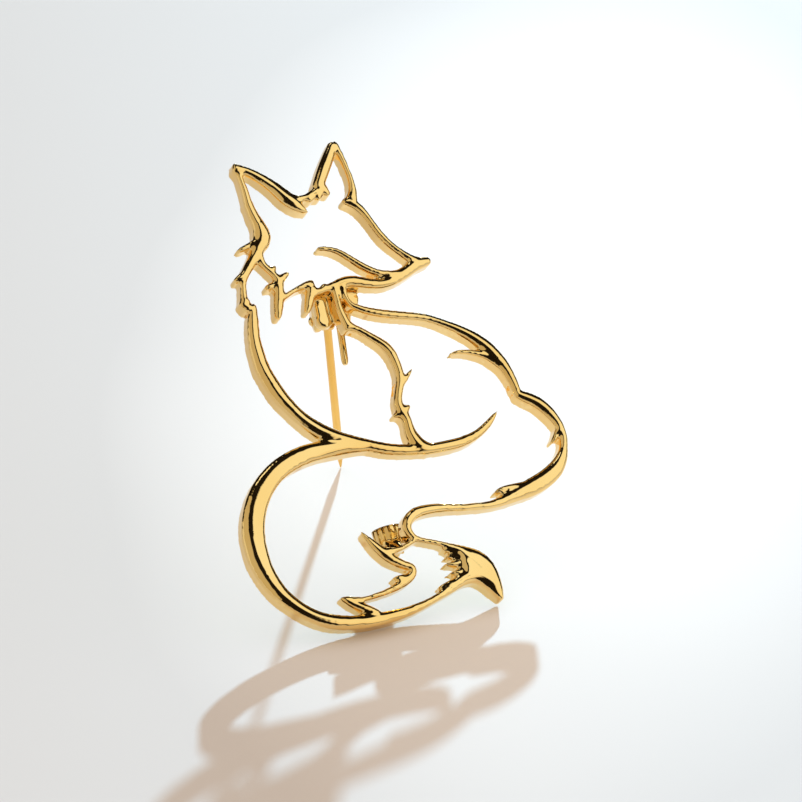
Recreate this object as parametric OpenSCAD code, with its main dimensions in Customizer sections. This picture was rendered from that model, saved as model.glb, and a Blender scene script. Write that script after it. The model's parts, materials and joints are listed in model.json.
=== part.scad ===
/* [Fox] */
// Width of the fox, from the tail loop to the haunch
fox_w = 37; // [32:0.5:44]
// Height of the fox along its plate, from the tail tip to the ear tips
fox_h = 51.5; // [46:0.5:60]
// Width of an ordinary line of the drawing
line_w = 1; // [0.85:0.05:1.3]
// Height of the side walls of the casting
wall_h = 1.9; // [1.5:0.1:2.6]
// Rise of the domed front above the side walls
dome_h = 0.45; // [0.2:0.05:0.7]

/* [Stance] */
// Lean of the plate back from upright, as it stands on the opened needle
lean = 43.2; // [38:0.2:48]

/* [Hinge] */
// Height of the hinge on the plate, as a share of the fox's height
hinge_up = 0.66; // [0.65:0.001:0.68]
// Distance of the hinge axis behind the plate
hinge_back = 2.5; // [2.3:0.1:3.2]
// Turn of the hinge about the plate's height
hinge_twist = 12.8; // [9:0.2:16]
// Diameter of the rivet through the hinge
rivet_d = 0.7; // [0.6:0.05:0.9]
// Thickness of each hinge ear
ear_t = 0.6; // [0.4:0.05:0.8]
// Thickness of the soldered bases of the hinge and the catch
base_t = 0.9; // [0.7:0.05:1.1]
// Running clearance of everything that turns
fit = 0.05; // [0.03:0.01:0.08]

/* [Needle] */
// Diameter of the needle
needle_d = 0.85; // [0.7:0.05:1]
// Length of the needle past the catch
needle_past = 0.1; // [0.1:0.1:1]
// Length of the sharpened tip
tip_l = 2.6; // [1.5:0.1:4]
// Length of the short spring leg beside the needle
leg_l = 5.7; // [3:0.1:6]
// Lean of the spring leg towards the plate
leg_lean = 5; // [2:1:8]

/* [Catch] */
// Height of the catch on the plate, as a share of the fox's height
catch_up = 0.196; // [0.19:0.001:0.202]
// Length of the catch along the needle
catch_l = 2.1; // [1.8:0.1:2.6]
// Wall of the turning roll and of its housing
catch_wall = 0.47; // [0.4:0.01:0.6]
// Play of the needle in the roll, all round
needle_play = 0.2; // [0.12:0.02:0.3]

/* [Hidden] */
$fn = 64;
gold = "#e3b656";
pale_gold = "#e9bd7c";

// Lines of the drawing, in the plane of the plate.
// Columns: across as a share of fox_w, up as a share of fox_h, width as a share of line_w.
ACROSS = 0;
UP = 1;
WIDE = 2;

ear_left_back = [
    [0.279, 0.98, 0.7], [0.285, 0.945, 0.64], [0.2875, 0.92, 0.74], [0.287, 0.893, 1.0],
    [0.293, 0.868, 1.15], [0.3, 0.845, 1.5], [0.3, 0.823, 1.9], [0.288, 0.805, 1.6]];
ear_left_front = [
    [0.27, 0.974, 1.1], [0.305, 0.964, 0.95], [0.34, 0.944, 1.15], [0.37, 0.921, 1.4],
    [0.395, 0.897, 1.65], [0.415, 0.88, 1.5], [0.432, 0.867, 1.0], [0.449, 0.857, 0.2]];
crown = [
    [0.405, 0.897, 0.9], [0.43, 0.889, 0.75], [0.45, 0.888, 0.7], [0.47, 0.892, 0.8],
    [0.49, 0.897, 1.0], [0.505, 0.908, 1.2]];
ear_right_front = [
    [0.495, 0.903, 1.2], [0.51, 0.92, 1.25], [0.53, 0.942, 1.3], [0.555, 0.968, 1.2],
    [0.577, 0.992, 0.9]];
ear_right_back = [
    [0.577, 0.993, 0.85], [0.589, 0.962, 0.65], [0.5955, 0.93, 0.58], [0.597, 0.902, 0.7],
    [0.5925, 0.882, 0.95], [0.583, 0.868, 1.3]];
muzzle = [
    [0.5555, 0.869, 0.6], [0.588, 0.857, 0.95], [0.608, 0.836, 0.85], [0.623, 0.81, 0.8],
    [0.638, 0.785, 0.8], [0.658, 0.762, 0.75], [0.681, 0.743, 0.75], [0.705, 0.726, 0.9],
    [0.73, 0.717, 0.9], [0.751, 0.7155, 0.85], [0.7605, 0.7155, 0.5]];
eye = [
    [0.443, 0.78, 0.3], [0.47, 0.777, 0.45], [0.5, 0.768, 0.6], [0.53, 0.749, 0.7],
    [0.56, 0.7285, 0.75], [0.6, 0.709, 0.72], [0.64, 0.7025, 0.65], [0.67, 0.7045, 0.65],
    [0.7, 0.714, 0.8]];
jaw = [
    [0.4, 0.69, 0.7], [0.43, 0.694, 0.75], [0.46, 0.698, 0.85], [0.5, 0.7025, 1.2],
    [0.53, 0.699, 1.2], [0.56, 0.6915, 1.1], [0.6, 0.685, 1.0], [0.64, 0.6885, 1.0],
    [0.68, 0.7, 1.15], [0.71, 0.711, 1.3], [0.735, 0.7135, 1.05], [0.752, 0.715, 0.85],
    [0.761, 0.7155, 0.5]];
cheek = [
    [0.295, 0.815, 1.8], [0.262, 0.785, 1.15], [0.238, 0.766, 1.0], [0.218, 0.748, 0.85],
    [0.208, 0.73, 0.65], [0.203, 0.712, 0.75], [0.2, 0.695, 0.95], [0.206, 0.678, 1.1]];
ruff_back = [
    [0.275, 0.79, 1.1], [0.28, 0.766, 0.8], [0.302, 0.743, 0.8], [0.311, 0.726, 1.0],
    [0.306, 0.71, 1.05], [0.299, 0.692, 1.1], [0.291, 0.675, 1.0], [0.285, 0.662, 0.85],
    [0.28, 0.65, 0.5]];
ruff_bridge = [
    [0.303, 0.69, 0.6], [0.325, 0.696, 0.5], [0.35, 0.7035, 0.45], [0.38, 0.709, 0.65],
    [0.398, 0.713, 0.6], [0.41, 0.7165, 0.25]];
ruff_tooth = [
    [0.402, 0.711, 0.6], [0.397, 0.698, 1.05], [0.385, 0.68, 1.0], [0.374, 0.664, 0.8],
    [0.364, 0.652, 0.45]];
chest = [
    [0.222, 0.689, 0.6], [0.21, 0.66, 1.15], [0.198, 0.62, 1.3], [0.196, 0.585, 1.5],
    [0.2, 0.55, 1.6], [0.222, 0.5, 1.65], [0.245, 0.468, 1.5], [0.27, 0.441, 1.5],
    [0.31, 0.411, 1.7], [0.36, 0.388, 1.5], [0.42, 0.369, 1.3], [0.48, 0.351, 1.25],
    [0.54, 0.3405, 1.15], [0.6, 0.335, 1.1], [0.65, 0.334, 1.12], [0.7, 0.336, 1.1],
    [0.75, 0.3455, 0.88], [0.79, 0.362, 0.75], [0.815, 0.377, 0.4], [0.829, 0.385, 0.12]];
leg = [
    [0.463, 0.698, 0.8], [0.461, 0.66, 0.75], [0.464, 0.635, 0.85], [0.474, 0.612, 0.9],
    [0.5, 0.599, 0.75], [0.53, 0.5795, 0.85], [0.556, 0.561, 1.0], [0.572, 0.54, 1.05],
    [0.578, 0.515, 0.95], [0.5785, 0.495, 0.9], [0.572, 0.475, 0.9], [0.559, 0.455, 0.85],
    [0.551, 0.435, 0.95], [0.555, 0.418, 1.1], [0.562, 0.4, 1.05], [0.5615, 0.38, 1.15],
    [0.567, 0.36, 1.5], [0.58, 0.342, 1.7], [0.605, 0.334, 1.2]];
back = [
    [0.487, 0.697, 0.8], [0.4875, 0.673, 0.55], [0.495, 0.656, 0.6], [0.515, 0.644, 0.75],
    [0.55, 0.6315, 0.85], [0.6, 0.6195, 0.9], [0.65, 0.61, 0.85], [0.7, 0.599, 0.85],
    [0.75, 0.579, 0.9], [0.7913, 0.5591, 1.1], [0.8245, 0.5387, 1.25], [0.8534, 0.5136, 1.4],
    [0.8787, 0.4792, 1.35], [0.8929, 0.4486, 1.07], [0.8989, 0.4222, 0.93],
    [0.9, 0.409, 0.85]];
haunch = [
    [0.8946, 0.4115, 0.9], [0.918, 0.401, 1.25], [0.949, 0.385, 1.37], [0.9734, 0.3616, 1.3],
    [0.99, 0.3355, 1.02], [0.9953, 0.31, 0.88], [0.988, 0.287, 0.85], [0.972, 0.265, 1.25],
    [0.945, 0.245, 1.7], [0.905, 0.229, 1.85], [0.86, 0.2185, 1.85], [0.82, 0.2115, 1.5],
    [0.78, 0.204, 1.1], [0.74, 0.2, 0.85], [0.7, 0.201, 0.75], [0.65, 0.205, 0.75],
    [0.6, 0.2115, 0.88], [0.55, 0.215, 1.05], [0.51, 0.212, 1.15], [0.483, 0.199, 1.05],
    [0.476, 0.183, 0.95], [0.485, 0.167, 0.75], [0.505, 0.1575, 0.55], [0.54, 0.1475, 0.55],
    [0.575, 0.1355, 0.65], [0.61, 0.118, 1.4], [0.637, 0.097, 2.5], [0.656, 0.074, 2.8],
    [0.672, 0.05, 2.0], [0.682, 0.026, 1.1]];
tail_loop = [
    [0.46, 0.361, 0.9], [0.41, 0.366, 1.25], [0.37, 0.371, 1.6], [0.33, 0.3725, 1.8],
    [0.29, 0.3725, 1.9], [0.25, 0.37, 2.0], [0.2, 0.361, 2.05],
    [0.15, 0.344, 2.1], [0.102, 0.314, 2.25], [0.068, 0.277, 2.35], [0.048, 0.236, 2.4],
    [0.0425, 0.19, 2.3], [0.0515, 0.149, 2.05], [0.072, 0.112, 1.8], [0.096, 0.087, 1.6],
    [0.128, 0.063, 1.5], [0.165, 0.0435, 1.5], [0.205, 0.031, 1.55], [0.25, 0.0235, 1.4],
    [0.3, 0.0195, 1.35], [0.35, 0.0195, 1.25], [0.4, 0.0215, 1.05], [0.45, 0.0275, 0.85],
    [0.5, 0.037, 0.7], [0.55, 0.0505, 0.95], [0.59, 0.064, 1.35], [0.63, 0.067, 1.7],
    [0.66, 0.05, 1.7], [0.677, 0.026, 1.2]];
paw = [
    [0.485, 0.159, 0.5], [0.46, 0.152, 0.45], [0.435, 0.1475, 0.5], [0.412, 0.148, 0.7],
    [0.395, 0.15, 0.9]];
shin = [
    [0.344, 0.196, 0.2], [0.355, 0.183, 0.55], [0.372, 0.163, 1.0], [0.39, 0.146, 1.2],
    [0.41, 0.13, 1.1], [0.437, 0.116, 0.9], [0.458, 0.107, 0.8], [0.456, 0.0945, 0.85],
    [0.436, 0.0845, 0.9], [0.41, 0.077, 0.8], [0.375, 0.07, 0.6], [0.34, 0.0665, 0.5],
    [0.3, 0.0645, 0.45], [0.27, 0.069, 0.5], [0.25, 0.073, 0.4], [0.234, 0.075, 0.15]];
toe = [
    [0.237, 0.074, 0.2], [0.258, 0.064, 0.7], [0.28, 0.053, 0.95], [0.305, 0.042, 0.95],
    [0.33, 0.03, 0.8]];

// Tufts and barbs. Columns as above: a wide root row first, then the pointed end.
tufts = [
    [[0.29, 0.815, 1.1], [0.262, 0.811, 0.65], [0.238, 0.806, 0.55], [0.22, 0.8025, 0.35]],
    [[0.225, 0.753, 0.95], [0.203, 0.746, 0.8], [0.186, 0.741, 0.4]],
    [[0.205, 0.702, 1.1], [0.194, 0.692, 0.9], [0.183, 0.687, 0.55]],
    [[0.289, 0.752, 0.6], [0.303, 0.754, 0.6], [0.316, 0.757, 0.4]],
    [[0.306, 0.724, 1.1], [0.33, 0.735, 0.7], [0.347, 0.741, 0.35]],
    [[0.305, 0.722, 0.8], [0.283, 0.719, 0.7], [0.268, 0.7165, 0.45]],
    [[0.43, 0.692, 0.6], [0.434, 0.7, 0.6], [0.438, 0.706, 0.4]],
    [[0.468, 0.89, 0.8], [0.465, 0.883, 0.7], [0.4625, 0.877, 0.4]],
    [[0.495, 0.894, 0.8], [0.491, 0.886, 0.75], [0.4875, 0.879, 0.4]],
    [[0.508, 0.903, 1.2], [0.516, 0.893, 0.9], [0.5235, 0.885, 0.4]],
    [[0.468, 0.62, 0.95], [0.4675, 0.61, 0.75], [0.4675, 0.601, 0.45]],
    [[0.57, 0.473, 0.8], [0.592, 0.4845, 0.6], [0.607, 0.4935, 0.35], [0.623, 0.504, 0.12]],
    [[0.555, 0.417, 0.9], [0.57, 0.424, 0.8], [0.583, 0.429, 0.25]],
    [[0.557, 0.421, 0.8], [0.54, 0.415, 0.6], [0.526, 0.4125, 0.3]],
    [[0.872, 0.479, 1.1], [0.845, 0.4965, 0.8], [0.815, 0.5085, 0.65], [0.78, 0.5165, 0.5],
     [0.755, 0.5185, 0.35], [0.736, 0.517, 0.12]],
    [[0.84, 0.224, 0.9], [0.8, 0.226, 0.65], [0.77, 0.2245, 0.6], [0.75, 0.2205, 0.15]],
    [[0.99, 0.327, 0.7], [0.97, 0.308, 0.5], [0.951, 0.297, 0.15]],
    [[0.61, 0.118, 0.9], [0.585, 0.1215, 0.5], [0.556, 0.129, 0.15]],
    [[0.62, 0.106, 0.9], [0.585, 0.1115, 0.5], [0.556, 0.1135, 0.15]],
    [[0.62, 0.092, 0.9], [0.58, 0.0965, 0.55], [0.55, 0.099, 0.15]],
    [[0.62, 0.078, 0.9], [0.585, 0.0795, 0.5], [0.555, 0.0795, 0.15]],
    [[0.59, 0.066, 0.7], [0.55, 0.0615, 0.5], [0.515, 0.0565, 0.12]],
    [[0.44, 0.088, 0.8], [0.415, 0.091, 0.6], [0.393, 0.092, 0.2]]];

long_lines = [
    ear_left_back, ear_left_front, crown, ear_right_front, ear_right_back, muzzle, eye, jaw,
    cheek, ruff_back, ruff_bridge, ruff_tooth, chest, leg, back, haunch, tail_loop, paw,
    shin, toe];

// Flat face of the tail's brush, between the tops of its two lines. Columns as above,
// without the width.
tail_face = [
    [0.607, 0.1185], [0.637, 0.097], [0.656, 0.074], [0.672, 0.05], [0.6815, 0.0275],
    [0.677, 0.0275], [0.66, 0.05], [0.63, 0.067], [0.605, 0.065]];
tail_rise = 0.88 * dome_h;

// Cross-section of a line. Columns: aside as a share of the half width, then shares of
// the wall height and of the dome's rise.
section = [
    [-1, 0, 0], [-1, 1, 0], [-0.62, 1, 0.62], [0, 1, 1], [0.62, 1, 0.62], [1, 1, 0], [1, 0, 0]];
dome_share = 0.28;
line_steps = 2;
tuft_steps = 2;

// Level of the floor on the drawing, and the tail tip that reaches it beside the loop
sill = min([for (p = corners(tail_loop)) p.y]);
foot_wide = 0.3;
tail_foot = [0.6855, (sill + 0.07 * foot_wide * line_w) / fox_h, foot_wide];
sweeps = [for (rows = long_lines)
    rows == haunch || rows == tail_loop ? concat(rows, [tail_foot]) : rows];

wire_r = needle_d / 2;
rivet_r = rivet_d / 2;
// A turn of the spring is a little stouter than the needle that leaves it
turn_r = wire_r + 0.04;
coil_r = rivet_r + fit + turn_r;
turn_gap = 0.08;
turn_x = turn_r + turn_gap / 2;
ear_x = turn_x + turn_r + turn_gap;
ear_boss = 0.6;
boss_l = ear_boss + ear_t / 2;
boss_r = 1.05;
ear_r = coil_r + turn_r - 0.12;
ear_foot = 0.044 * fox_h;
leg_r = 0.9 * wire_r;
leg_aside = 8;
head_l = 0.45 * rivet_d;
head_r = 1.5 * rivet_r;
embed = 0.3;
hinge_at = [0.479 * fox_w, hinge_up * fox_h, -hinge_back];
catch_drop = (hinge_up - catch_up) * fox_h;
needle_l = catch_drop + catch_l / 2 + needle_past;
// The needle thins from nearly the turn's thickness to its own along its root
root_r = (wire_r + turn_r) / 2;
root_l = 0.16 * needle_l;
tip_r = 0.06;

roll_in = wire_r + needle_play;
roll_out = roll_in + catch_wall;
house_in = roll_out + fit;
house_out = house_in + catch_wall;
slot_w = needle_d + 0.3;
window = 60;
tab_at = 48;
tab_t = 0.3;
tab_reach = 0.5;
rib_r = 0.15;
ribs = 7;
rib_step = 22;
// Reach of the cutter that opens the housing's window
past = 2 * house_out;
foot_w = 1.6;
foot_l = 0.013 * fox_h;
foot_y = coil_r + hinge_back - base_t / 2;
foot_z = (catch_up - 0.157) * fox_h;

// Angle at which the needle's tip reaches the floor, from the plate's lean
rise = (hinge_at.y - sill) * cos(lean) + (hinge_at.z - turn_x * sin(hinge_twist)) * sin(lean);
swing_p = coil_r * cos(lean) - needle_l * cos(hinge_twist) * sin(lean);
swing_q = -needle_l * cos(lean) - coil_r * cos(hinge_twist) * sin(lean);
swing_r = norm([swing_p, swing_q]);
needle_open = asin((tip_r - rise) / swing_r) - atan2(swing_q, swing_p);

// Middle of the bounding box in plan, which is the part's origin
mid_x = (min([for (p = corners(tail_loop)) p.x]) + max([for (p = corners(haunch)) p.x])) / 2;
tip_w = hinge_at.y - sill + coil_r * sin(needle_open) - needle_l * cos(needle_open);
tip_n = hinge_at.z - turn_x * sin(hinge_twist)
    - cos(hinge_twist) * (coil_r * cos(needle_open) + needle_l * sin(needle_open));
tip_y = tip_w * sin(lean) - tip_n * cos(lean);
ears_y = max([for (p = corners(ear_right_front)) (p.y - sill) * sin(lean) - p.z * cos(lean)]);
front_y = min([for (p = corners(tail_loop)) (p.y - sill) * sin(lean) - p.z * cos(lean)]);
mid_y = (max(tip_y, ears_y) + front_y) / 2;

function place(row) = [row[ACROSS] * fox_w, row[UP] * fox_h, row[WIDE] * line_w];
function blend(a, b, c, d, t) =
    (2 * b + t * (c - a) + t * t * (2 * a - 5 * b + 4 * c - d)
    + t * t * t * (3 * b - a - 3 * c + d)) / 2;
function smooth(rows, steps) =
    let (p = [for (row = rows) place(row)], last = len(p) - 1)
    concat([for (i = [0:last - 1], k = [0:steps - 1])
        blend(p[max(i - 1, 0)], p[i], p[i + 1], p[min(i + 2, last)], k / steps)], [p[last]]);
function heading(path, i) =
    let (d = path[min(i + 1, len(path) - 1)] - path[max(i - 1, 0)], flat = [d.x, d.y])
    flat / norm(flat);
function ring(at, dir) =
    let (half = at.z / 2, rise_h = min(dome_h, dome_share * at.z))
    [for (s = section) [at.x + dir.y * half * s[0], at.y - dir.x * half * s[0],
        wall_h * s[1] + rise_h * s[2]]];
function corners(rows) =
    let (path = smooth(rows, line_steps))
    [for (i = [0:len(path) - 1]) each ring(path[i], heading(path, i))];

// One line of the drawing: flat back, upright walls, domed front
module line(rows, steps) {
    path = smooth(rows, steps);
    m = len(section);
    last = len(path) - 1;
    points = [for (i = [0:last]) each ring(path[i], heading(path, i))];
    sides = [for (i = [0:last - 1], j = [0:m - 1])
        let (a = i * m + j, b = i * m + (j + 1) % m)
        each [[a, b + m, b], [a, a + m, b + m]]];
    polyhedron(points, concat(sides,
        [[for (j = [0:m - 1]) j], [for (j = [m - 1:-1:0]) last * m + j]]));
}

// Puts what is drawn about the hinge axis, X along it, into the plate
module at_hinge() translate(hinge_at) rotate([0, -hinge_twist, 0]) children();
// Puts what is drawn about the closed needle, Z along it, into the plate
module at_catch() at_hinge() translate([-turn_x, -catch_drop, -coil_r]) rotate([90, 0, 0]) children();
// Stands the plate on the floor, leaning back
module stand() translate([-mid_x, -mid_y, 0]) rotate([90 - lean, 0, 0])
    translate([0, -sill, 0]) children();
module along_x(h) rotate([0, 90, 0]) translate([0, 0, -h / 2]) children();

// Bar behind the ruff, with a long round foot for the left ear and a round one for the right
module hinge_base() {
    translate([0.385 * fox_w, 0.684 * fox_h, -base_t])
        cube([0.135 * fox_w, 0.025 * fox_h, base_t + embed]);
    for (share = [0, 0.5, 1])
        translate([(0.427 + 0.0054 * share) * fox_w, (0.6417 + 0.0263 * share) * fox_h, -base_t])
            cylinder(r = 0.98 * base_t, h = base_t + embed);
    translate([0.511 * fox_w, 0.6748 * fox_h, -base_t])
        cylinder(r = 1.22 * base_t, h = base_t + embed);
}

// One ear of the hinge, its inner face at x
module hinge_ear(x)
    at_hinge() translate([x + sign(x) * ear_t / 2, 0, 0]) {
        along_x(ear_t) cylinder(r = ear_r, h = ear_t);
        translate([-ear_t / 2, 0, 0]) rotate([90, 0, 90]) linear_extrude(ear_t)
            polygon([[-0.6 * ear_r, 0], [-0.55 * ear_r, 0.7 * ear_r],
                [0.3 * ear_r, ear_top], [ear_foot, ear_top], [0.9 * ear_r, 0]]);
    }
ear_top = hinge_back - base_t / 2;

// Left ear, right ear and the boss that keeps the spring off the left ear
module hinge_ears() {
    hinge_ear(-ear_x - ear_boss);
    hinge_ear(ear_x);
    at_hinge() translate([-ear_x - boss_l / 2, 0, 0]) along_x(boss_l)
        cylinder(r = boss_r, h = boss_l);
}

module hinge_bore()
    at_hinge() along_x(6 * ear_x) cylinder(r = rivet_r + fit, h = 6 * ear_x);

module tail_brush()
    translate([0, 0, embed]) linear_extrude(wall_h + tail_rise - embed)
        polygon([for (at = tail_face) [at[ACROSS] * fox_w, at[UP] * fox_h]]);

module catch_base()
    translate([0.392 * fox_w, 0.1405 * fox_h, -base_t])
        cube([0.06 * fox_w, 0.019 * fox_h, base_t + embed]);

// The C-shaped housing of the catch on its foot, open to the rear for the needle
module catch_house() at_catch() difference() {
    union() {
        translate([0, 0, -catch_l / 2]) cylinder(r = house_out, h = catch_l);
        for (i = [0:ribs - 1]) rotate([0, 0, (i - (ribs - 1) / 2) * rib_step])
            translate([0, house_out, -catch_l / 2 + 0.1]) cylinder(r = rib_r, h = catch_l - 0.2, $fn = 16);
        translate([-foot_w / 2, 0, 0]) rotate([90, 0, 90]) linear_extrude(foot_w)
            polygon([[house_in, 0], [house_in, catch_l / 2], [foot_y, foot_z + foot_l], [foot_y, foot_z]]);
    }
    translate([0, 0, -catch_l]) cylinder(r = house_in, h = 2 * catch_l);
    translate([0, 0, -catch_l]) linear_extrude(2 * catch_l)
        polygon([[0, 0], past * [-sin(window), -cos(window)], [0, -2 * past], past * [sin(window), -cos(window)]]);
}

module fox_casting() color(gold) stand() difference() {
    union() {
        for (rows = sweeps) line(rows, line_steps);
        for (rows = tufts) line(rows, tuft_steps);
        tail_brush();
        hinge_base();
        hinge_ears();
        catch_base();
        catch_house();
    }
    hinge_bore();
}

module hinge_rivet() color(gold) stand() at_hinge() {
    translate([-ear_boss / 2, 0, 0]) along_x(rivet_l) cylinder(r = rivet_r, h = rivet_l);
    for (x = [-ear_x - ear_boss - ear_t, ear_x + ear_t])
        translate([x + sign(x) * head_gap, 0, 0]) rotate([0, sign(x) * 90, 0])
            cylinder(r1 = head_r, r2 = 0.6 * head_r, h = head_l);
}
head_gap = 0.04;
rivet_l = 2 * (ear_x + ear_t + head_gap + head_l / 2) + ear_boss;

module spring_turn() rotate([0, 90, 0]) rotate_extrude() translate([coil_r, 0]) circle(r = turn_r);

// Right-hand turn of the spring and the short leg that presses on the plate's back
module spring_leg() color(pale_gold) stand() at_hinge() translate([turn_x, 0, 0]) {
    spring_turn();
    translate([0, 0, coil_r]) rotate([90 - leg_lean, 0, -leg_aside]) cylinder(r = leg_r, h = leg_l);
}

// Left-hand turn of the spring and the needle, opened until its tip stands on the floor
module pin_stem() color(pale_gold) stand() at_hinge() rotate([needle_open, 0, 0])
    translate([-turn_x, 0, 0]) {
        spring_turn();
        translate([0, 0, -coil_r]) rotate([90, 0, 0]) {
            cylinder(r = wire_r, h = needle_l - tip_l);
            cylinder(r1 = root_r, r2 = 2 * wire_r - root_r, h = 2 * root_l);
            translate([0, 0, needle_l - tip_l]) cylinder(r1 = wire_r, r2 = tip_r, h = tip_l);
        }
    }

// The roll that turns in the housing, drawn open, with its thumb tab
module catch_roll() color(gold) stand() at_catch() {
    difference() {
        translate([0, 0, -catch_l / 2]) cylinder(r = roll_out, h = catch_l);
        translate([0, 0, -catch_l]) cylinder(r = roll_in, h = 2 * catch_l);
        translate([-slot_w / 2, -2 * roll_out, -catch_l]) cube([slot_w, 2 * roll_out, 2 * catch_l]);
    }
    rotate([0, 0, tab_at]) translate([-tab_t / 2, -house_out - tab_reach, -catch_l / 4])
        cube([tab_t, house_out + tab_reach - roll_in - catch_wall / 2, catch_l / 2]);
}

fox_casting();
hinge_rivet();
spring_leg();
pin_stem();
catch_roll();
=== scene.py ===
"""Openwork fox brooch standing on its opened needle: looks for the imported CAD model.

Every piece lies in the row frame, in metres. The recipes work in millimetres and the panel's
lengths are scene lengths, which sizes() turns into millimetres.
"""
import json
import math
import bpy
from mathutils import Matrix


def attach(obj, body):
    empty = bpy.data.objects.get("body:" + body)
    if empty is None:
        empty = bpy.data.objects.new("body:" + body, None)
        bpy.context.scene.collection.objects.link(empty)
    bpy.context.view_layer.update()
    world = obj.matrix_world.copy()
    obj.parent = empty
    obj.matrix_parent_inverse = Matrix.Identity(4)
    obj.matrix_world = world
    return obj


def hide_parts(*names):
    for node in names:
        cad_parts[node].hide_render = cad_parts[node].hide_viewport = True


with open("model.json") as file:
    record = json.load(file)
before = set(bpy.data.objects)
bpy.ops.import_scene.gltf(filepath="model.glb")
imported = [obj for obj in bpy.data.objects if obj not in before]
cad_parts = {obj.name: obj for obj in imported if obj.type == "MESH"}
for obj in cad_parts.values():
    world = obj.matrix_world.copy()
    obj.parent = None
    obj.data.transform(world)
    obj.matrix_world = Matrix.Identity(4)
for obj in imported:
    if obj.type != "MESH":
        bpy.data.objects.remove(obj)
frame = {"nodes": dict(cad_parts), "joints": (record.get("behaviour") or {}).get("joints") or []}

from types import SimpleNamespace

import bmesh
import bpy
from mathutils import Matrix, Vector

bl_info = {
    "name": "Fox brooch",
    "version": (1, 0, 0),
    "blender": (4, 5, 0),
    "location": "3D View > Sidebar > Fox brooch",
    "description": "Builds the looks of a gold openwork fox brooch on its packed CAD model",
    "category": "Object",
}

MM = 0.001
CARRIER = "fox"

GOLD_LIGHT = (0.97, 0.715, 0.31, 1.0)
GOLD_DEEP = (0.93, 0.64, 0.235, 1.0)
WIRE_LIGHT = (1.0, 0.64, 0.18, 1.0)
WIRE_DEEP = (0.94, 0.55, 0.12, 1.0)
CATCH_LIGHT = (1.0, 0.66, 0.2, 1.0)
# The catch's dark brown is painted shade, mottled at random into its orange plating
CATCH_PAINTED_SHADE = (0.3, 0.12, 0.01, 1.0)


# --- Where things are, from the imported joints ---

def joint(name):
    """(point, axis) of a packed joint, in metres in the row frame."""
    found = next(j for j in frame["joints"] if j["name"] == name)
    return Vector(found["pos_m"]), Vector(found["axis"]).normalized()


def hinge_frame():
    """Matrix from millimetres about the needle's hinge, X along its rivet and Y up the plate."""
    at, axis = joint("needle_hinge")
    across = -axis
    up = joint("catch_turn")[1]
    return columns(at, across, up, across.cross(up))


def catch_frame():
    """Matrix from millimetres about the closed needle at the catch, Z down along the needle."""
    at, up = joint("catch_turn")
    across = -joint("needle_hinge")[1]
    out = across.cross(up)
    return columns(at, across, out, -up)


def columns(at, x, y, z):
    """Matrix from millimetres about a point, with the three axes as its columns."""
    turn = Matrix((x, y, z)).transposed().to_4x4()
    return Matrix.Translation(at) @ turn @ Matrix.Scale(MM, 4)


# --- Node trees ---

class Tree:
    """A small helper that adds and links nodes by name."""

    def __init__(self, nodes, links):
        self.nodes, self.links = nodes, links

    def add(self, kind, settings=None, **inputs):
        node = self.nodes.new(kind)
        for key, value in (settings or {}).items():
            setattr(node, key, value)
        for key, value in inputs.items():
            self.put(node, key.replace("_", " "), value)
        return node

    def put(self, node, key, value):
        socket = node.inputs[key] if isinstance(key, int) else next(
            s for s in node.inputs if s.name == key and s.enabled)
        if isinstance(value, bpy.types.NodeSocket):
            self.links.new(value, socket)
        else:
            socket.default_value = value
        return socket


def geometry_tree(name, inputs):
    """A Geometry Nodes group with a Geometry input, the named inputs, and its own output."""
    group = bpy.data.node_groups.new(name, "GeometryNodeTree")
    group.interface.new_socket("Geometry", in_out="INPUT", socket_type="NodeSocketGeometry")
    for label, kind, value in inputs:
        socket = group.interface.new_socket(label, in_out="INPUT", socket_type="NodeSocket" + kind)
        if value is not None:
            socket.default_value = value
    group.interface.new_socket("Geometry", in_out="OUTPUT", socket_type="NodeSocketGeometry")
    tree = Tree(group.nodes, group.links)
    given = tree.add("NodeGroupInput").outputs
    return group, tree, given


def close_tree(tree, geometry, material):
    """Smooth shading, real geometry, one material, and the group's output."""
    shaded = tree.add("GeometryNodeSetShadeSmooth", Geometry=geometry).outputs[0]
    real = tree.add("GeometryNodeRealizeInstances", Geometry=shaded).outputs[0]
    painted = tree.add("GeometryNodeSetMaterial", Geometry=real, Material=material).outputs[0]
    tree.add("NodeGroupOutput", Geometry=painted)


def run_tree(name, mesh, group, values):
    """Evaluates a Geometry Nodes group once on a mesh and returns the plain result."""
    host = bpy.data.objects.new(name + "_host", mesh)
    bpy.context.scene.collection.objects.link(host)
    modifier = host.modifiers.new("Recipe", "NODES")
    modifier.node_group = group
    for item in group.interface.items_tree:
        if item.in_out == "INPUT" and item.name in values:
            modifier[item.identifier] = values[item.name]
    host.update_tag()
    bpy.context.view_layer.update()
    graph = bpy.context.evaluated_depsgraph_get()
    made = bpy.data.meshes.new_from_object(host.evaluated_get(graph))
    made.name = name
    bpy.data.objects.remove(host)
    bpy.data.meshes.remove(mesh)
    if not made.polygons:
        raise RuntimeError(f"{name} came out empty")
    return made


def settle(name, mesh, body, slot, *nodes):
    """Puts a finished mesh in the scene on its body."""
    piece = bpy.data.objects.new(name, mesh)
    bpy.context.scene.collection.objects.link(piece)
    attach(piece, body)
    if nodes:
        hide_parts(*nodes)
    return piece


# --- Materials ---

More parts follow.
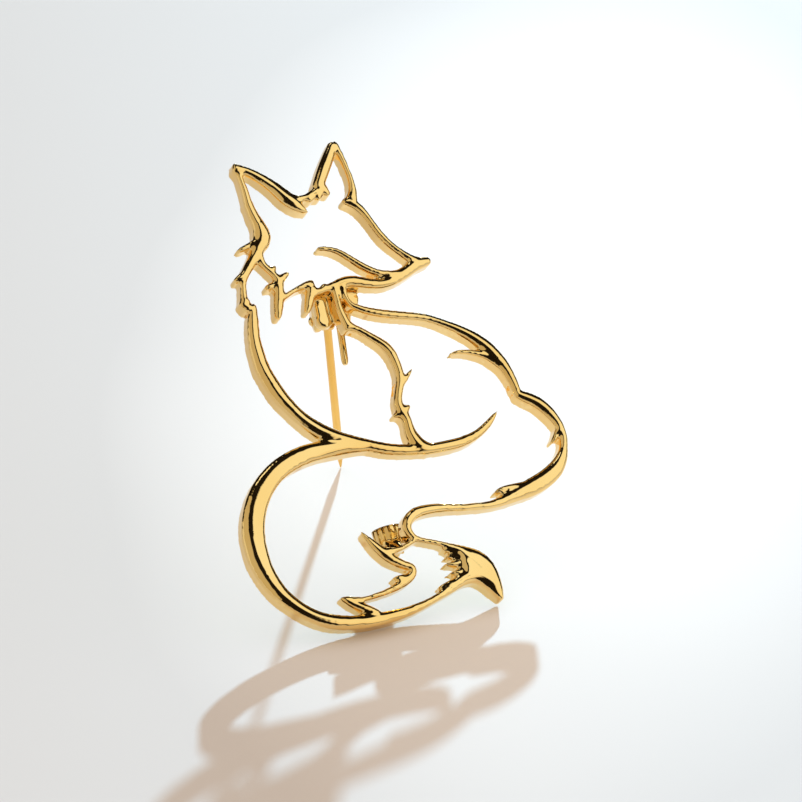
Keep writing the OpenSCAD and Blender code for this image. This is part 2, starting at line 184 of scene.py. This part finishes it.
def metal(name, light, deep, rough_low, rough_high, grain, bump, along=None, patch=90.0):
    """Plated metal: slow tone changes, polish that varies, a lighter colour on ridges and a fine surface.
    """
    material = bpy.data.materials.get(name)
    if material:
        return material
    material = bpy.data.materials.new(name)
    material.use_nodes = True
    material.node_tree.nodes.clear()
    tree = Tree(material.node_tree.nodes, material.node_tree.links)
    place = tree.add("ShaderNodeTexCoord").outputs["Object"]
    tone = tree.add("ShaderNodeTexNoise", Vector=place, Scale=patch, Detail=3.0, Roughness=0.5)
    spread = tree.add("ShaderNodeMapRange", Value=tone.outputs[0], From_Min=0.35, From_Max=0.65)
    # Lighter colour where the surface is pointy, on ridges and edges
    ridge = tree.add("ShaderNodeMapRange", Value=tree.add("ShaderNodeNewGeometry").outputs["Pointiness"],
                     From_Min=0.52, From_Max=0.62, To_Min=0.0, To_Max=0.6)
    colour = tree.add("ShaderNodeMix", {"data_type": "RGBA"}, Factor=spread.outputs[0], A=deep, B=light)
    ridge_toned = tree.add("ShaderNodeMix", {"data_type": "RGBA"}, Factor=ridge.outputs[0],
                    A=colour.outputs["Result"], B=tuple(min(1.0, 1.06 * c) for c in light))
    polish = tree.add("ShaderNodeTexNoise", Vector=place, Scale=600.0, Detail=5.0, Roughness=0.6)
    rough = tree.add("ShaderNodeMapRange", Value=polish.outputs[0], From_Min=0.3, From_Max=0.7,
                     To_Min=rough_low, To_Max=rough_high)
    fine = tree.add("ShaderNodeTexNoise", Vector=place, Scale=grain, Detail=4.0, Roughness=0.55)
    height = fine.outputs[0]
    if along:
        way = tree.add("ShaderNodeAttribute", {"attribute_name": along}).outputs["Vector"]
        drawn = tree.add("ShaderNodeTexNoise", Vector=way, Scale=1.0, Detail=3.0)
        height = tree.add("ShaderNodeMath", {"operation": "ADD"}).outputs[0]
        tree.links.new(fine.outputs[0], height.node.inputs[0])
        tree.links.new(drawn.outputs[0], height.node.inputs[1])
    relief = tree.add("ShaderNodeBump", Height=height, Strength=0.35, Distance=bump)
    shader = tree.add("ShaderNodeBsdfPrincipled", Base_Color=ridge_toned.outputs["Result"],
                      Roughness=rough.outputs[0], Normal=relief.outputs[0], Metallic=1.0)
    tree.add("ShaderNodeOutputMaterial", Surface=shader.outputs[0])
    return material


def polished_gold():
    """The casting's mirror-bright plating."""
    return metal("polished_gold", GOLD_LIGHT, GOLD_DEEP, 0.03, 0.07, 1500.0, 2e-6)


def satin_wire():
    """The needle's satin plating, with faint streaks along the wire."""
    return metal("satin_wire", WIRE_LIGHT, WIRE_DEEP, 0.26, 0.4, 4000.0, 8e-6, along="drawn")


def bright_wire():
    """The spring leg's bright plating, with the same streaks."""
    return metal("bright_wire", GOLD_LIGHT, GOLD_DEEP, 0.07, 0.14, 4000.0, 4e-6, along="drawn")


def turned_gold():
    """The rivet's plating."""
    return metal("turned_gold", GOLD_LIGHT, GOLD_DEEP, 0.06, 0.14, 5000.0, 4e-6)


def catch_gold():
    """The plating of the catch, mottled at random from orange to a dark brown that is painted shade."""
    return metal("catch_gold", CATCH_LIGHT, CATCH_PAINTED_SHADE, 0.05, 0.12, 3000.0, 1.2e-5, patch=1100.0)


# --- Recipes in Geometry Nodes ---

def casting_tree():
    """Rounds a faceted casting over: a fine volume, its skin, and a few passes of smoothing."""
    group, tree, given = geometry_tree("Polish casting", [
        ("Voxel", "Float", 0.168), ("Skin", "Float", 0.05), ("Passes", "Int", 4), ("Regain", "Float", 0.9),
        ("Millimetre", "Float", MM), ("Material", "Material", None)])
    per = tree.add("ShaderNodeMath", {"operation": "DIVIDE"})
    per.inputs[0].default_value = 1.0
    tree.put(per, 1, given["Millimetre"])
    large = tree.add("ShaderNodeCombineXYZ", X=per.outputs[0], Y=per.outputs[0], Z=per.outputs[0])
    small = tree.add("ShaderNodeCombineXYZ", X=given["Millimetre"], Y=given["Millimetre"],
                     Z=given["Millimetre"])
    work = tree.add("GeometryNodeTransform", Geometry=given["Geometry"], Scale=large.outputs[0])
    volume = tree.add("GeometryNodeMeshToVolume", {"resolution_mode": "VOXEL_SIZE"}, Mesh=work.outputs[0],
                      Voxel_Size=given["Voxel"], Density=1.0)
    band = tree.add("ShaderNodeMath", {"operation": "MULTIPLY"})
    tree.put(band, 0, given["Voxel"])
    band.inputs[1].default_value = 3.0
    tree.put(volume, "Interior Band Width", band.outputs[0])
    skin = tree.add("GeometryNodeVolumeToMesh", Volume=volume.outputs[0], Threshold=0.1)
    here = tree.add("GeometryNodeInputPosition").outputs[0]
    even = tree.add("GeometryNodeBlurAttribute", {"data_type": "FLOAT_VECTOR"}, Value=here,
                    Iterations=given["Passes"])
    eased = tree.add("GeometryNodeSetPosition", Geometry=skin.outputs[0], Position=even.outputs[0])
    again = tree.add("GeometryNodeBlurAttribute", {"data_type": "FLOAT_VECTOR"}, Value=here,
                     Iterations=given["Passes"])
    lost = tree.add("ShaderNodeVectorMath", {"operation": "SUBTRACT"})
    tree.put(lost, 0, here)
    tree.put(lost, 1, again.outputs[0])
    regain = tree.add("ShaderNodeVectorMath", {"operation": "SCALE"}, Vector=lost.outputs[0],
                      Scale=given["Regain"])
    full = tree.add("GeometryNodeSetPosition", Geometry=eased.outputs[0], Offset=regain.outputs[0])
    out = tree.add("ShaderNodeVectorMath", {"operation": "SCALE"},
                   Vector=tree.add("GeometryNodeInputNormal").outputs[0], Scale=given["Skin"])
    grown = tree.add("GeometryNodeSetPosition", Geometry=full.outputs[0], Offset=out.outputs[0])
    back = tree.add("GeometryNodeTransform", Geometry=grown.outputs[0], Scale=small.outputs[0])
    close_tree(tree, back.outputs[0], given["Material"])
    return group


def wire_tree():
    """Sweeps a round section along a line of edges; each point has its own thickness."""
    group, tree, given = geometry_tree("Draw wire", [
        ("Sides", "Int", 32), ("Streaks", "Float", 9.0), ("Material", "Material", None)])
    line = tree.add("GeometryNodeMeshToCurve", Mesh=given["Geometry"])
    thick = tree.add("GeometryNodeInputNamedAttribute", {"data_type": "FLOAT"}, Name="thick")
    section = tree.add("GeometryNodeCurvePrimitiveCircle", {"mode": "RADIUS"}, Resolution=given["Sides"],
                       Radius=1.0)
    round_way = tree.add("GeometryNodeSplineParameter")
    turn = tree.add("GeometryNodeStoreNamedAttribute", {"data_type": "FLOAT", "domain": "POINT"},
                    Geometry=section.outputs[0], Name="round", Value=round_way.outputs["Factor"])
    reach = tree.add("GeometryNodeStoreNamedAttribute", {"data_type": "FLOAT", "domain": "POINT"},
                     Geometry=line.outputs[0], Name="reach", Value=round_way.outputs["Length"])
    tube = tree.add("GeometryNodeCurveToMesh", Curve=reach.outputs[0], Profile_Curve=turn.outputs[0],
                    Scale=thick.outputs[0], Fill_Caps=True)
    angle = tree.add("GeometryNodeInputNamedAttribute", {"data_type": "FLOAT"}, Name="round")
    length = tree.add("GeometryNodeInputNamedAttribute", {"data_type": "FLOAT"}, Name="reach")
    across = tree.add("ShaderNodeMath", {"operation": "MULTIPLY"})
    tree.put(across, 0, angle.outputs[0])
    tree.put(across, 1, given["Streaks"])
    drawn = tree.add("ShaderNodeCombineXYZ", X=across.outputs[0], Y=length.outputs[0])
    marked = tree.add("GeometryNodeStoreNamedAttribute", {"data_type": "FLOAT_VECTOR", "domain": "POINT"},
                      Geometry=tube.outputs[0], Name="drawn", Value=drawn.outputs[0])
    close_tree(tree, marked.outputs[0], given["Material"])
    return group


def drum_tree():
    """A C-shaped shell swept round the needle, with ribs standing along its outside."""
    group, tree, given = geometry_tree("Roll drum", [
        ("Inner", "Float", 0.6), ("Outer", "Float", 1.1), ("Length", "Float", 2.1),
        ("Window", "Float", 1.0), ("Edge", "Float", 0.06), ("Ribs", "Int", 7),
        ("Rib Radius", "Float", 0.15), ("Rib Step", "Float", 0.38), ("Material", "Material", None)])

    def math_of(kind, a, b):
        node = tree.add("ShaderNodeMath", {"operation": kind})
        for i, value in enumerate((a, b)):
            tree.put(node, i, value)
        return node.outputs[0]

    middle = math_of("MULTIPLY", math_of("ADD", given["Inner"], given["Outer"]), 0.5)
    wall = math_of("SUBTRACT", given["Outer"], given["Inner"])
    sweep = math_of("SUBTRACT", 2 * math.pi, math_of("MULTIPLY", given["Window"], 2.0))
    start = math_of("ADD", -math.pi / 2, given["Window"])
    arc = tree.add("GeometryNodeCurveArc", {"mode": "RADIUS"}, Resolution=72, Radius=middle,
                   Start_Angle=start, Sweep_Angle=sweep)
    box = tree.add("GeometryNodeCurvePrimitiveQuadrilateral", {"mode": "RECTANGLE"}, Width=wall,
                   Height=given["Length"])
    soft = tree.add("GeometryNodeFilletCurve", {"mode": "POLY"}, Curve=box.outputs[0], Count=4,
                    Radius=given["Edge"])
    shell = tree.add("GeometryNodeCurveToMesh", Curve=arc.outputs[0], Profile_Curve=soft.outputs[0],
                     Fill_Caps=True)
    spread = math_of("MULTIPLY", math_of("SUBTRACT", given["Ribs"], 1.0), given["Rib Step"])
    first = math_of("SUBTRACT", math.pi / 2, math_of("MULTIPLY", spread, 0.5))
    row = tree.add("GeometryNodeCurveArc", {"mode": "RADIUS"}, Resolution=given["Ribs"],
                   Radius=given["Outer"], Start_Angle=first, Sweep_Angle=spread)
    points = tree.add("GeometryNodeCurveToPoints", {"mode": "EVALUATED"}, Curve=row.outputs[0])
    rib = tree.add("GeometryNodeMeshCylinder", Vertices=20, Radius=given["Rib Radius"],
                   Depth=math_of("SUBTRACT", given["Length"], 0.2))
    many = tree.add("GeometryNodeInstanceOnPoints", Points=points.outputs[0], Instance=rib.outputs[0])
    both = tree.add("GeometryNodeJoinGeometry")
    tree.links.new(shell.outputs[0], both.inputs[0])
    tree.links.new(many.outputs[0], both.inputs[0])
    close_tree(tree, both.outputs[0], given["Material"])
    return group


def path_mesh(name, rows):
    """A line of edges from rows of (point, thickness), for the wire recipe."""
    mesh = bpy.data.meshes.new(name)
    mesh.from_pydata([p for p, _ in rows], [(i, i + 1) for i in range(len(rows) - 1)], [])
    thick = mesh.attributes.new("thick", "FLOAT", "POINT")
    thick.data.foreach_set("value", [t for _, t in rows])
    return mesh


# --- Sizes ---

def length_prop(name, description, default, low, high):
    """A scene length whose default and limits are given in millimetres."""
    return bpy.props.FloatProperty(name=name, description=description, default=default * MM, min=low * MM,
                                   max=high * MM, precision=6, unit="LENGTH", subtype="DISTANCE")


class FoxSizes(bpy.types.PropertyGroup):
    """Sizes of the casting's surface and of its fittings."""
    voxel: length_prop("Voxel", "Voxel of the casting's surface", 0.168, 0.1, 0.4)
    passes: bpy.props.IntProperty(name="Passes", description="Smoothing passes over the casting", default=4,
                                  min=0, max=20)
    regain: bpy.props.FloatProperty(name="Regain", description="Share of the smoothed-away size given back",
                                    default=0.9, min=0.0, max=1.2, subtype="FACTOR")
    skin: length_prop("Skin", "Growth after smoothing", 0.05, 0.0, 0.1)
    wire_r: length_prop("Needle radius", "Radius of the needle", 0.425, 0.35, 0.5)
    root_r: length_prop("Root radius", "Radius of the needle where it leaves its turn", 0.4425, 0.35, 0.5)
    root_l: length_prop("Root length", "Length over which the root thins to the needle", 4.0, 1.0, 8.0)
    turn_r: length_prop("Turn radius", "Radius of the wire in a spring turn", 0.46, 0.4, 0.54)
    coil_r: length_prop("Coil radius", "Radius of the spring turn's centreline", 0.865, 0.7, 1.0)
    turn_x: length_prop("Turn offset", "Distance of each spring turn from the middle", 0.505, 0.4, 0.6)
    needle_l: length_prop("Needle length", "Length from hinge to tip", 25.046, 20.0, 30.0)
    tip_l: length_prop("Tip length", "Length of the sharpened tip", 2.6, 1.5, 4.0)
    leg_l: length_prop("Leg length", "Length of the spring leg", 5.7, 3.0, 6.0)
    leg_aside: bpy.props.FloatProperty(name="Leg aside", description="Lean of the spring leg to the right",
                                       default=math.radians(8), unit="ROTATION", subtype="ANGLE")
    leg_lift: bpy.props.FloatProperty(name="Leg lift",
                                      description="Angle of the spring leg from the plate's normal",
                                      default=math.radians(85), unit="ROTATION", subtype="ANGLE")
    open_angle: bpy.props.FloatProperty(name="Open angle", description="Needle's opening at rest",
                                        default=math.radians(64.162), unit="ROTATION", subtype="ANGLE")
    rivet_r: length_prop("Rivet radius", "Radius of the hinge rivet", 0.35, 0.3, 0.45)
    drum_in: length_prop("Housing bore", "Inner radius of the catch housing", 1.145, 0.9, 1.4)
    drum_out: length_prop("Housing radius", "Outer radius of the catch housing", 1.615, 1.3, 2.0)
    drum_l: length_prop("Catch length", "Length of the catch along the needle", 2.1, 1.8, 2.6)
    roll_in: length_prop("Roll bore", "Inner radius of the turning roll", 0.625, 0.5, 0.8)
    roll_out: length_prop("Roll radius", "Outer radius of the turning roll", 1.095, 0.9, 1.3)


class FoxStage(bpy.types.PropertyGroup):
    """The studio round the brooch."""
    sun_power: bpy.props.FloatProperty(name="Key light", description="Strength of the low key light",
                                       default=2.75)
    sun_angle: bpy.props.FloatProperty(name="Key softness", description="Angular size of the key light",
                                       default=math.radians(2.0), unit="ROTATION", subtype="ANGLE")
    world_power: bpy.props.FloatProperty(name="Fill", description="Strength of the white surroundings",
                                         default=0.915)
    studio_power: bpy.props.FloatProperty(name="Studio", description="Strength of what the metal reflects",
                                          default=1.0)
    lens: bpy.props.FloatProperty(name="Lens", description="Focal length of the camera", default=197.5,
                                  unit="CAMERA")


def sizes():
    """The panel's values, with every length turned into millimetres."""
    group = bpy.context.scene.fox_sizes
    values = {}
    for key in FoxSizes.__annotations__:
        value = getattr(group, key)
        values[key] = value / MM if group.bl_rna.properties[key].subtype == "DISTANCE" else value
    return SimpleNamespace(**values)


# --- Operators, one per piece ---

# Lengths in millimetres that the panel leaves fixed
POINT_R = 0.06
LEG_R = 0.38
RIVET_LEFT, RIVET_RIGHT = -2.25, 1.65
TAB_T, TAB_REACH, TAB_ROOT = 0.3, 0.5, 0.235
SLOT_HALF = 0.575
CATCH_EDGE, ROLL_EDGE = 0.07, 0.06

class FOX_OT_casting(bpy.types.Operator):
    """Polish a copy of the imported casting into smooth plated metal"""
    bl_idname = "fox.casting"
    bl_label = "Fox casting"

    def execute(self, context):
        s = sizes()
        source = frame["nodes"]["fox_casting"].data.copy()
        source.materials.clear()
        work = bmesh.new()
        work.from_mesh(source)
        bmesh.ops.remove_doubles(work, verts=work.verts, dist=1e-6)
        work.to_mesh(source)
        work.free()
        mesh = run_tree("fox_gold", source, casting_tree(), {
            "Voxel": s.voxel, "Skin": s.skin, "Passes": s.passes, "Regain": s.regain,
            "Material": polished_gold()})
        settle("fox_gold", mesh, CARRIER, "gold", "fox_casting")
        return {"FINISHED"}


class FOX_OT_needle(bpy.types.Operator):
    """Draw the needle and its spring turn as one wire"""
    bl_idname = "fox.needle"
    bl_label = "Needle"

    def execute(self, context):
        s = sizes()
        rows = []
        steps = 60
        for i in range(29):
            turn = math.radians(95 + 355 * i / steps)
            rows.append((Vector((0, s.coil_r * math.cos(turn), s.coil_r * math.sin(turn))), s.turn_r))
        straight = s.needle_l - s.tip_l
        rows.append((Vector((0, 0, -s.coil_r)), s.root_r))
        for share in (0.04, 0.1, 0.2, 0.4, 0.6, 0.8, 1.0):
            thin = min(1.0, share * straight / s.root_l)
            thick = s.root_r + thin * (s.wire_r - s.root_r)
            rows.append((Vector((0, -share * straight, -s.coil_r)), thick))
        for share in (0.25, 0.5, 0.7, 0.85, 0.95, 1.0):
            thick = POINT_R + (s.wire_r - POINT_R) * (1 - share) ** 0.85
            rows.append((Vector((0, -straight - share * s.tip_l, -s.coil_r)), thick))
        mesh = run_tree("needle", path_mesh("needle_path", rows), wire_tree(), {"Material": satin_wire()})
        mesh.transform(hinge_frame() @ Matrix.Rotation(s.open_angle, 4, "X")
                       @ Matrix.Translation((-s.turn_x, 0, 0)))
        settle("needle", mesh, "needle", "pale_gold", "pin_stem")
        return {"FINISHED"}


class FOX_OT_leg(bpy.types.Operator):
    """Draw the spring's right-hand turn and its short leg"""
    bl_idname = "fox.leg"
    bl_label = "Spring leg"

    def execute(self, context):
        s = sizes()
        rows = []
        steps = 40
        for i in range(steps):
            turn = math.radians(-255 + 340 * i / steps)
            rows.append((Vector((0, s.coil_r * math.cos(turn), s.coil_r * math.sin(turn))), s.turn_r))
        lean = Matrix.Rotation(-s.leg_aside, 3, "Z") @ Matrix.Rotation(s.leg_lift, 3, "X")
        way = lean @ Vector((0, 0, 1))
        start = Vector((0, 0, s.coil_r))
        for share in (0.06, 0.3, 0.6, 0.9, 0.97, 1.0):
            thick = LEG_R if share < 0.95 else LEG_R - 3 * (share - 0.95)
            rows.append((start + way * s.leg_l * share, thick))
        mesh = run_tree("spring_wire", path_mesh("leg_path", rows), wire_tree(),
                        {"Material": bright_wire()})
        mesh.transform(hinge_frame() @ Matrix.Translation((s.turn_x, 0, 0)))
        settle("spring_wire", mesh, CARRIER, "pale_gold", "spring_leg")
        return {"FINISHED"}


class FOX_OT_rivet(bpy.types.Operator):
    """Turn the hinge rivet with its two domed heads"""
    bl_idname = "fox.rivet"
    bl_label = "Hinge rivet"

    def execute(self, context):
        s = sizes()
        # A domed head as (distance past the ear, radius), from its middle to the shank
        head = [(0.355, 0.0), (0.34, 0.16), (0.29, 0.3), (0.16, 0.46), (0.05, 0.515), (0.04, 0.5),
                (0.04, s.rivet_r), (0.0, s.rivet_r)]
        profile = [(RIVET_LEFT - x, r) for x, r in head] + [(RIVET_RIGHT + x, r) for x, r in reversed(head)]
        work = bmesh.new()
        verts = [work.verts.new((x, r, 0)) for x, r in profile]
        edges = [work.edges.new(pair) for pair in zip(verts, verts[1:])]
        bmesh.ops.spin(work, geom=verts + edges, cent=(0, 0, 0), axis=(1, 0, 0), angle=2 * math.pi,
                       steps=48, use_duplicate=False)
        bmesh.ops.remove_doubles(work, verts=work.verts, dist=1e-4)
        bmesh.ops.recalc_face_normals(work, faces=work.faces)
        mesh = bpy.data.meshes.new("rivet")
        work.to_mesh(mesh)
        work.free()
        mesh.shade_smooth()
        mesh.materials.append(turned_gold())
        mesh.transform(hinge_frame())
        settle("rivet", mesh, CARRIER, "gold", "hinge_rivet")
        return {"FINISHED"}


class FOX_OT_catch(bpy.types.Operator):
    """Form the ribbed housing of the catch and the roll that turns in it"""
    bl_idname = "fox.catch"
    bl_label = "Catch"

    def execute(self, context):
        s = sizes()
        group = drum_tree()
        empty = bpy.data.meshes.new("drum_seed")
        mesh = run_tree("catch_drum", empty, group, {
            "Inner": s.drum_in - 0.005, "Outer": s.drum_out + 0.01, "Length": s.drum_l,
            "Window": math.radians(60), "Edge": CATCH_EDGE, "Ribs": 7, "Rib Radius": 0.15,
            "Rib Step": math.radians(22), "Material": catch_gold()})
        mesh.transform(catch_frame())
        settle("catch_drum", mesh, CARRIER, "gold")
        seed = bpy.data.meshes.new("roll_seed")
        half_slot = math.asin(SLOT_HALF / s.roll_out)
        mesh = run_tree("roll", seed, group, {
            "Inner": s.roll_in, "Outer": s.roll_out, "Length": s.drum_l, "Window": half_slot,
            "Edge": ROLL_EDGE, "Ribs": 1, "Rib Radius": 0.001, "Rib Step": 0.0, "Material": catch_gold()})
        work = bmesh.new()
        work.from_mesh(mesh)
        tab = bmesh.ops.create_cube(work, size=1.0)["verts"]
        reach = s.drum_out + TAB_REACH
        inner = s.roll_in + TAB_ROOT
        turn = Matrix.Rotation(math.radians(48), 4, "Z")
        for v in tab:
            out = -(inner + reach) / 2 + v.co.y * (reach - inner)
            v.co = turn @ Vector((v.co.x * TAB_T, out, v.co.z * s.drum_l / 2))
        rim = list({e for v in tab for e in v.link_edges})
        bmesh.ops.bevel(work, geom=rim, offset=CATCH_EDGE, segments=3, profile=0.5, affect="EDGES")
        work.to_mesh(mesh)
        work.free()
        mesh.materials.clear()
        mesh.materials.append(catch_gold())
        mesh.polygons.foreach_set("material_index", [0] * len(mesh.polygons))
        mesh.shade_smooth()
        mesh.transform(catch_frame())
        settle("roll", mesh, "roll", "gold", "catch_roll")
        return {"FINISHED"}


# --- Stage ---

# Dark studio and the soft boxes in it: direction, inner and outer angle in degrees, colour
DARK = (0.012, 0.009, 0.006, 1.0)
BOXES = (
    ((-0.82, -0.25, 0.5), 40, 43, (0.60, 0.52, 0.38, 1.0)),
    ((0.45, -0.8, 0.4), 18, 24, (0.98, 0.9, 0.75, 1.0)),
    ((0.33, -0.36, 0.87), 17, 21, (1.03, 1.01, 0.9, 1.0)),
    ((0.75, -0.55, 0.5), 29, 33, (1.03, 1.01, 0.9, 1.0)),
    ((-0.9, 0.2, 0.1), 20, 30, (0.8, 0.76, 0.7, 1.0)),
    ((-0.2, 0.35, 0.92), 6, 10, (1.3, 1.3, 1.25, 1.0)),
    ((0.5, 0.8, 0.41), 4, 7, (2.0, 2.0, 1.9, 1.0)),
)


class FOX_OT_stage(bpy.types.Operator):
    """Set the floor, the lights and the camera of the photograph"""
    bl_idname = "fox.stage"
    bl_label = "Stage"

    def execute(self, context):
        scene = context.scene
        stage = scene.fox_stage
        scene.view_settings.view_transform = "Standard"
        floor = bpy.data.meshes.new("floor")
        work = bmesh.new()
        bmesh.ops.create_grid(work, x_segments=8, y_segments=8, size=3.0)
        work.to_mesh(floor)
        work.free()
        ground = bpy.data.objects.new("floor", floor)
        scene.collection.objects.link(ground)
        floor.materials.append(self.paper())

        sun = bpy.data.lights.new("key", "SUN")
        sun.energy, sun.angle, sun.color = stage.sun_power, stage.sun_angle, (0.49, 0.77, 0.97)
        lamp = bpy.data.objects.new("key", sun)
        scene.collection.objects.link(lamp)
        lamp.rotation_euler = Vector((-1.1595, -1.931, -1.0)).to_track_quat("-Z", "Y").to_euler()

        self.world(scene, stage)

        lens = bpy.data.cameras.new("camera")
        lens.lens, lens.sensor_width, lens.clip_start = stage.lens, 36.0, 0.01
        camera = bpy.data.objects.new("camera", lens)
        scene.collection.objects.link(camera)
        camera.location = (-0.1539445, -0.3716908, 0.2154593)
        heading, down = math.radians(22.9), math.radians(26.3)
        camera.rotation_euler = (math.pi / 2 - down, 0.0, -heading)
        scene.camera = camera
        return {"FINISHED"}

    def paper(self):
        """Pale paper with a painted pool of light round the brooch; its colour darkens outwards into
        painted shade.
        """
        material = bpy.data.materials.new("paper")
        material.use_nodes = True
        material.node_tree.nodes.clear()
        tree = Tree(material.node_tree.nodes, material.node_tree.links)
        place = tree.add("ShaderNodeTexCoord").outputs["Object"]
        painted_pool = tree.add("ShaderNodeMapping", {"vector_type": "TEXTURE"}, Vector=place,
                        Location=(0.0387, 0.0421, 0.0), Rotation=(0.0, 0.0, math.radians(-26.9)),
                        Scale=(0.123, 0.3, 1.0))
        reach = tree.add("ShaderNodeVectorMath", {"operation": "LENGTH"}, Vector=painted_pool.outputs[0])
        soft = tree.add("ShaderNodeTexNoise", Vector=place, Scale=14.0, Detail=1.0)
        wander = tree.add("ShaderNodeMath", {"operation": "MULTIPLY_ADD"})
        tree.put(wander, 0, soft.outputs[0])
        wander.inputs[1].default_value = 0.1
        tree.put(wander, 2, reach.outputs["Value"])
        # The ramp paints light and shade into the paper's colour: bright in the pool, darker painted shade
        # beyond it
        colour = tree.add("ShaderNodeValToRGB", Fac=wander.outputs[0])
        stops = colour.color_ramp.elements
        stops.new(0.5)
        shades = ((0.272, (0.876, 0.876, 0.876, 1.0)), (0.4425, (0.65, 0.637, 0.63, 1.0)),
                  (0.8635, (0.63, 0.618, 0.612, 1.0)))
        for stop, (spot, shade) in zip(stops, shades):
            stop.position, stop.color = spot, shade
        tooth = tree.add("ShaderNodeTexNoise", Vector=place, Scale=1800.0, Detail=3.0)
        relief = tree.add("ShaderNodeBump", Height=tooth.outputs[0], Strength=0.1, Distance=2e-5)
        shader = tree.add("ShaderNodeBsdfPrincipled", Base_Color=colour.outputs[0], Roughness=0.6,
                          Normal=relief.outputs[0])
        tree.add("ShaderNodeOutputMaterial", Surface=shader.outputs[0])
        return material

    def world(self, scene, stage):
        """White surroundings for the paper, and a dark studio with soft boxes for the metal."""
        world = bpy.data.worlds.new("studio")
        scene.world = world
        world.use_nodes = True
        world.node_tree.nodes.clear()
        tree = Tree(world.node_tree.nodes, world.node_tree.links)
        way = tree.add("ShaderNodeTexCoord").outputs["Generated"]
        seen = None
        for direction, inner, outer, tone in BOXES:
            near = tree.add("ShaderNodeVectorMath", {"operation": "DOT_PRODUCT"})
            tree.put(near, 0, way)
            near.inputs[1].default_value = Vector(direction).normalized()
            mask = tree.add("ShaderNodeMapRange", {"interpolation_type": "SMOOTHSTEP"},
                            Value=near.outputs["Value"], From_Min=math.cos(math.radians(outer)),
                            From_Max=math.cos(math.radians(inner)))
            mix = tree.add("ShaderNodeMix", {"data_type": "RGBA"}, Factor=mask.outputs[0],
                           A=seen or DARK, B=tone)
            seen = mix.outputs["Result"]
        studio = tree.add("ShaderNodeBackground", Color=seen, Strength=stage.studio_power)
        glow = tree.add("ShaderNodeBackground", Color=(1.0, 0.832, 0.69, 1.0), Strength=stage.world_power)
        ray = tree.add("ShaderNodeLightPath")
        both = tree.add("ShaderNodeMixShader")
        tree.links.new(ray.outputs["Is Glossy Ray"], both.inputs[0])
        tree.links.new(glow.outputs[0], both.inputs[1])
        tree.links.new(studio.outputs[0], both.inputs[2])
        tree.add("ShaderNodeOutputWorld", Surface=both.outputs[0])


class FOX_PT_panel(bpy.types.Panel):
    """Sizes and steps of the fox brooch"""
    bl_label = "Fox brooch"
    bl_idname = "FOX_PT_panel"
    bl_space_type = "VIEW_3D"
    bl_region_type = "UI"
    bl_category = "Fox brooch"

    def draw(self, context):
        for group in (context.scene.fox_sizes, context.scene.fox_stage):
            for key in group.__annotations__:
                self.layout.prop(group, key)
        for step in STEPS:
            self.layout.operator(step.bl_idname)


STEPS = (FOX_OT_casting, FOX_OT_needle, FOX_OT_leg, FOX_OT_rivet, FOX_OT_catch, FOX_OT_stage)
CLASSES = (FoxSizes, FoxStage) + STEPS + (FOX_PT_panel,)


def register():
    for kind in CLASSES:
        bpy.utils.register_class(kind)
    bpy.types.Scene.fox_sizes = bpy.props.PointerProperty(type=FoxSizes)
    bpy.types.Scene.fox_stage = bpy.props.PointerProperty(type=FoxStage)


def unregister():
    del bpy.types.Scene.fox_stage
    del bpy.types.Scene.fox_sizes
    for kind in reversed(CLASSES):
        bpy.utils.unregister_class(kind)


def main():
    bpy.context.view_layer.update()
    register()
    for step in (bpy.ops.fox.casting, bpy.ops.fox.needle, bpy.ops.fox.leg, bpy.ops.fox.rivet,
                 bpy.ops.fox.catch, bpy.ops.fox.stage):
        step()


if __name__ == "__main__":
    main()
